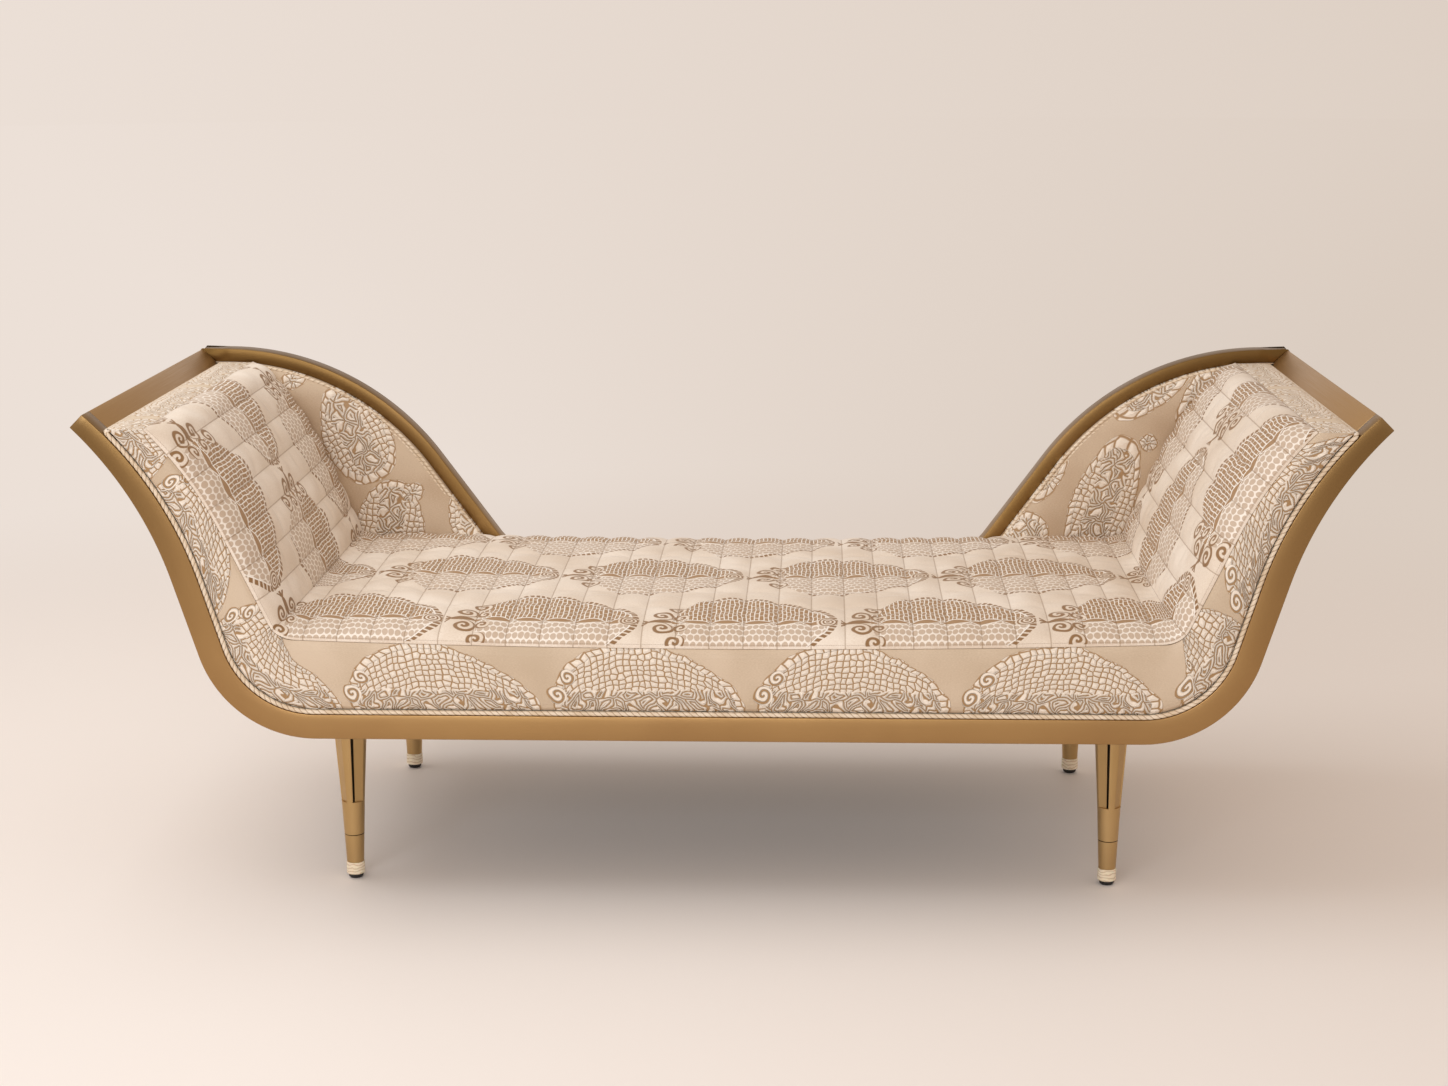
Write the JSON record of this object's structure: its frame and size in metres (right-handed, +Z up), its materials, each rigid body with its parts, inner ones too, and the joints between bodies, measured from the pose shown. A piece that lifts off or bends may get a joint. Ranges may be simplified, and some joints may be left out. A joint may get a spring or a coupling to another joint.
{
  "type": "recamier",
  "caption": "Long low settee with outswept padded arms, an open middle back between two sloping wings, a gold-leafed board frame and tapered fluted legs.",
  "frame": {"origin": "on the floor, below the middle of the object's box", "axes": "+X to the right arm as seen from the front, -Y to the front, +Z up"},
  "size_m": [2.1, 0.806, 0.8133],
  "materials": {
    "frame": "hardwood under brushed bronze-gold metallic leaf, satin lacquer",
    "legs": "turned and fluted hardwood under the same metallic leaf",
    "ferrule": "cast ivory resin, faintly marbled, polished",
    "glide": "moulded black nylon",
    "beech": "planed kiln-dried beech, unfinished",
    "plywood": "bent beech plywood, sanded",
    "steel": "zinc plated",
    "webbing": "woven jute webbing",
    "deck_cloth": "plain cotton ticking",
    "dust_cloth": "black spunbonded cloth",
    "foam": "upholstery foam in wadding",
    "quilted_jacquard": "champagne jacquard with a woven paisley, channel quilted",
    "boxing_jacquard": "tan satin jacquard with a raised cream paisley",
    "wing_jacquard": "tan satin jacquard with a raised cream paisley",
    "welt_cord": "bias-cut champagne satin over cord",
    "outside_cloth": "plain tan satin weave"
  },
  "bodies": {
    "recamier": {"front_rail": "frame", "front_arm_left": "frame", "front_arm_right": "frame", "back_rail": "frame", "back_arm_left": "frame", "back_arm_right": "frame", "end_rail_left": "frame", "end_rail_right": "frame", "arch_left": "frame", "arch_right": "frame", "crest_rail": "frame", "leg_front_left": "legs", "leg_front_right": "legs", "leg_back_left": "legs", "leg_back_right": "legs", "ferrule_front_left": "ferrule", "ferrule_front_right": "ferrule", "ferrule_back_left": "ferrule", "ferrule_back_right": "ferrule", "seat_rail_front": "beech", "seat_rail_back": "beech", "end_cross_rails": "beech", "middle_cross_rails": "beech", "corner_blocks": "beech", "arm_shell_left": "plywood", "arm_shell_right": "plywood", "back_panel": "plywood", "frame_bolts": "steel", "leg_plates": "steel", "leg_bolts": "steel", "seat_webbing": "webbing", "deck_cloth": "deck_cloth", "dust_cover": "dust_cloth", "seat_foam": "foam", "arm_foam_left": "foam", "arm_foam_right": "foam", "back_filler": "foam", "quilted_cover": "quilted_jacquard", "front_boxing": "boxing_jacquard", "end_boxing_left": "boxing_jacquard", "end_boxing_right": "boxing_jacquard", "wing_pad_left": "wing_jacquard", "wing_pad_right": "wing_jacquard", "front_welt": "welt_cord", "back_welt_left": "welt_cord", "back_welt_right": "welt_cord", "outside_arm_left": "outside_cloth", "outside_arm_right": "outside_cloth", "outside_back": "outside_cloth"},
    "glide_front_left": {"glide_front_left": "glide"},
    "glide_front_right": {"glide_front_right": "glide"},
    "glide_back_left": {"glide_back_left": "glide"},
    "glide_back_right": {"glide_back_right": "glide"}
  },
  "joints": [
    {"name": "glide_front_left_screw", "type": "slide", "parent": "recamier", "child": "glide_front_left", "axis": [0, 0, -1], "range_m": [0, 0.01]},
    {"name": "glide_front_right_screw", "type": "slide", "parent": "recamier", "child": "glide_front_right", "axis": [0, 0, -1], "range_m": [0, 0.01]},
    {"name": "glide_back_left_screw", "type": "slide", "parent": "recamier", "child": "glide_back_left", "axis": [0, 0, -1], "range_m": [0, 0.01]},
    {"name": "glide_back_right_screw", "type": "slide", "parent": "recamier", "child": "glide_back_right", "axis": [0, 0, -1], "range_m": [0, 0.01]}
  ]
}
